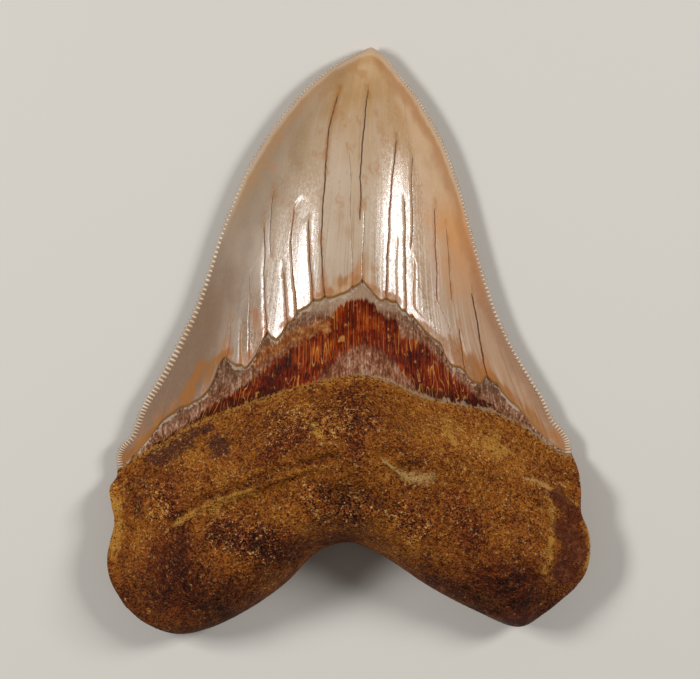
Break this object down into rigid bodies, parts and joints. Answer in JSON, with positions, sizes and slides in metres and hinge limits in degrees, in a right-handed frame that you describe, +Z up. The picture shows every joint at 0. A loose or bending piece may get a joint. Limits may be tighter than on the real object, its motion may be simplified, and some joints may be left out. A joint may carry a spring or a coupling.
{
  "type": "fossil megalodon tooth",
  "caption": "Large triangular fossil shark tooth with serrated cutting edges, a glossy enamel crown, a chevron-shaped bourlette and a thick bilobed root, lying on its flat labial face.",
  "frame": {"origin": "on the resting surface, under the middle of the tooth's outline box", "axes": "+Y from the root to the tip, +Z up out of the domed lingual face, +X to the right seen from above"},
  "size_m": [0.1172, 0.1424, 0.033],
  "materials": {
    "fossil_tooth": "mineralised tooth: glossy tan-grey enamel crown with dark cracks, fibrous red-brown bourlette, matt granular golden-brown root"
  },
  "bodies": {
    "root": {"tooth": "fossil_tooth"}
  },
  "joints": []
}
